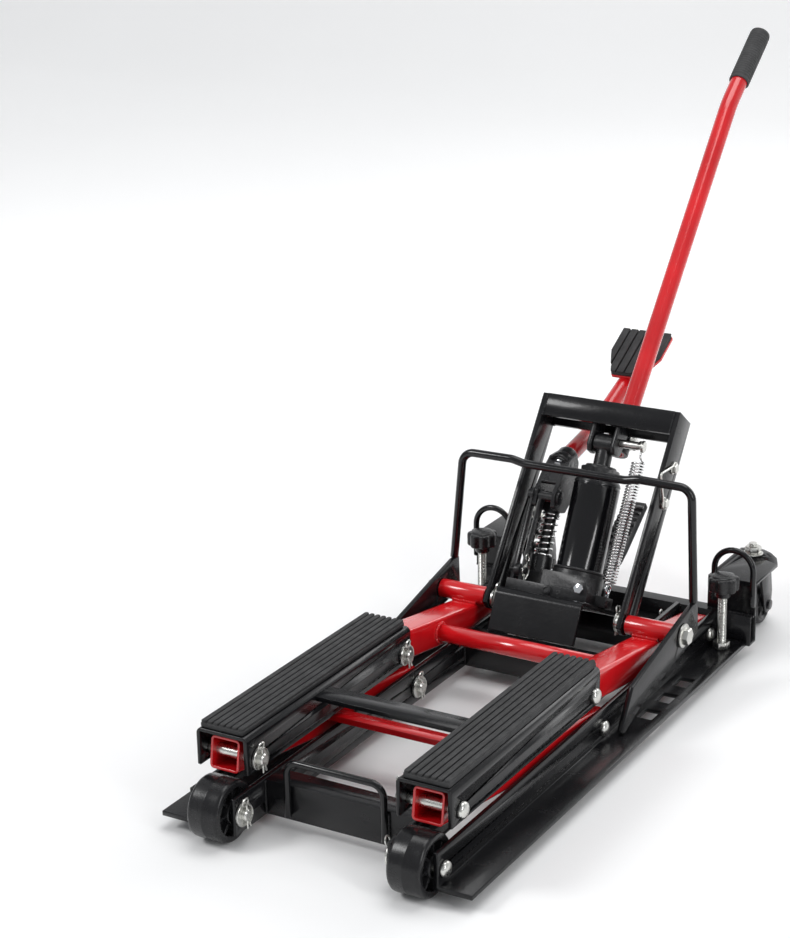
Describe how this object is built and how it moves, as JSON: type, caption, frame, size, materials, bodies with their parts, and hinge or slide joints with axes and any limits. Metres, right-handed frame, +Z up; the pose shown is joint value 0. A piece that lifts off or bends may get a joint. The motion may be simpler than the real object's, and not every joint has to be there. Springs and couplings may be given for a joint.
{
  "type": "motorcycle lift jack",
  "caption": "Low-profile hydraulic lift jack for motorcycles and quad bikes, with two rubber-topped saddles on swinging arms, a foot pump, locking bail, casters and a tow handle.",
  "frame": {"origin": "centre of the footprint on the floor, with the lift lowered", "axes": "+X to the right side of the lift, +Y towards the tow handle and the casters, +Z up"},
  "size_m": [0.363, 1.1068, 0.6555],
  "materials": {
    "frame_black": "gloss",
    "rod_black": "gloss",
    "arm_red": "gloss",
    "cast_black": "satin",
    "reservoir_black": "gloss",
    "zinc": "satin",
    "chrome": "gloss",
    "pad_rubber": "matte",
    "wheel_plastic": "gloss",
    "caster_plastic": "satin"
  },
  "bodies": {
    "base": {"rail_outer_right": "frame_black", "rail_outer_left": "frame_black", "rails_inner": "frame_black", "cross_front": "frame_black", "cross_mid": "frame_black", "cross_jack": "frame_black", "cross_rear": "frame_black", "carry_loop": "rod_black", "jack_mount": "frame_black", "jack_base": "cast_black", "jack_reservoir": "reservoir_black", "jack_cap": "reservoir_black", "jack_valves": "chrome", "pump_barrel": "cast_black", "pump_links": "cast_black", "caster_brackets": "frame_black", "caster_bolts": "zinc", "tie_loops": "rod_black", "base_pins": "zinc", "base_clips": "zinc", "return_spring": "chrome", "pump_spring": "chrome"},
    "front_wheel_r": {"front_wheel_right": "wheel_plastic"},
    "front_wheel_l": {"front_wheel_left": "wheel_plastic"},
    "rear_arms": {"rear_arm_right": "arm_red", "rear_arm_left": "arm_red", "rear_arm_tube": "arm_red", "stubs": "arm_red", "stub_bolts": "zinc"},
    "front_arms": {"front_arm_right": "arm_red", "front_arm_left": "arm_red", "front_arm_bar": "arm_red"},
    "saddles": {"saddle_right": "frame_black", "saddle_left": "frame_black", "pad_right": "pad_rubber", "pad_left": "pad_rubber", "saddle_brace": "frame_black", "saddle_pins": "zinc", "saddle_clips": "zinc"},
    "yoke": {"uprights": "frame_black", "crossbar": "frame_black", "clevis_plates": "cast_black", "handle_socket": "cast_black", "handle_tube": "arm_red", "handle_grip": "pad_rubber", "latch": "zinc"},
    "ram": {"ram_rod": "chrome", "ram_head": "cast_black"},
    "lock_bail": {"bail_rod": "rod_black", "lock_plates": "frame_black"},
    "pedal": {"pedal_lever": "arm_red", "pedal_pad": "pad_rubber"},
    "pump_piston": {"pump_piston": "cast_black"},
    "release_pedal": {"release_pedal": "cast_black"},
    "caster_r": {"caster_fork_right": "frame_black"},
    "caster_l": {"caster_fork_left": "frame_black"},
    "caster_wheel_r": {"caster_wheel_right": "caster_plastic"},
    "caster_wheel_l": {"caster_wheel_left": "caster_plastic"},
    "screw_r": {"level_screw_right": "zinc"},
    "screw_l": {"level_screw_left": "zinc"}
  },
  "joints": [
    {"name": "lift", "type": "hinge", "parent": "base", "child": "rear_arms", "pos_m": [0, 0.09558, 0.031], "axis": [-1, 0, 0], "range_deg": [0, 60]},
    {"name": "front_lift", "type": "hinge", "parent": "base", "child": "front_arms", "pos_m": [0, -0.18442, 0.031], "axis": [-1, 0, 0], "range_deg": [0, 60]},
    {"name": "saddle_level", "type": "hinge", "parent": "rear_arms", "child": "saddles", "pos_m": [0, -0.21436, 0.08009], "axis": [-1, 0, 0], "range_deg": [-60, 0]},
    {"name": "yoke_tilt", "type": "hinge", "parent": "rear_arms", "child": "yoke", "pos_m": [0, -0.01742, 0.075], "axis": [-1, 0, 0], "range_deg": [-73.81, 0]},
    {"name": "ram_slide", "type": "slide", "parent": "base", "child": "ram", "axis": [0, 0.4571, 0.8894], "range_m": [0, 0.11412]},
    {"name": "bail_swing", "type": "hinge", "parent": "rear_arms", "child": "lock_bail", "pos_m": [0, -0.01742, 0.075], "axis": [-1, 0, 0], "range_deg": [-97.01, 0]},
    {"name": "pedal_press", "type": "hinge", "parent": "base", "child": "pedal", "pos_m": [-0.049, 0.0553, 0.17976], "axis": [-1, 0, 0], "range_deg": [0, 24], "stiffness_Nm_per_rad": 8, "springref_deg": -17.19},
    {"name": "pump_stroke", "type": "slide", "parent": "base", "child": "pump_piston", "axis": [0, 0.4571, 0.8894], "range_m": [-0.00922, 0]},
    {"name": "release_press", "type": "hinge", "parent": "base", "child": "release_pedal", "pos_m": [-0.005, 0.12458, 0.085], "axis": [-1, 0, 0], "range_deg": [0, 10], "stiffness_Nm_per_rad": 2, "springref_deg": -17.19},
    {"name": "front_wheel_spin_r", "type": "hinge", "parent": "base", "child": "front_wheel_r", "pos_m": [0.111, -0.52142, 0.032], "axis": [1, 0, 0], "continuous": true},
    {"name": "front_wheel_spin_l", "type": "hinge", "parent": "base", "child": "front_wheel_l", "pos_m": [-0.111, -0.52142, 0.032], "axis": [1, 0, 0], "continuous": true},
    {"name": "caster_swivel_r", "type": "hinge", "parent": "base", "child": "caster_r", "pos_m": [0.1425, 0.21208, 0.08], "axis": [0, 0, 1], "continuous": true},
    {"name": "caster_swivel_l", "type": "hinge", "parent": "base", "child": "caster_l", "pos_m": [-0.1425, 0.21208, 0.08], "axis": [0, 0, 1], "continuous": true},
    {"name": "caster_spin_r", "type": "hinge", "parent": "caster_r", "child": "caster_wheel_r", "pos_m": [0.1425, 0.22408, 0.025], "axis": [1, 0, 0], "continuous": true},
    {"name": "caster_spin_l", "type": "hinge", "parent": "caster_l", "child": "caster_wheel_l", "pos_m": [-0.1425, 0.22408, 0.025], "axis": [1, 0, 0], "continuous": true},
    {"name": "level_screw_r", "type": "slide", "parent": "base", "child": "screw_r", "axis": [0, 0, 1], "range_m": [-0.005, 0.012]},
    {"name": "level_screw_l", "type": "slide", "parent": "base", "child": "screw_l", "axis": [0, 0, 1], "range_m": [-0.005, 0.012]}
  ],
  "couplings": [
    {"joint": "front_lift", "follows": "lift", "ratio": 1},
    {"joint": "saddle_level", "follows": "lift", "ratio": -1},
    {"joint": "yoke_tilt", "follows": "lift", "ratio": -1.2301},
    {"joint": "ram_slide", "follows": "lift", "m_per_rad": 0.10898},
    {"joint": "bail_swing", "follows": "lift", "ratio": -1.6167},
    {"joint": "pump_stroke", "follows": "pedal_press", "m_per_rad": -0.022}
  ]
}
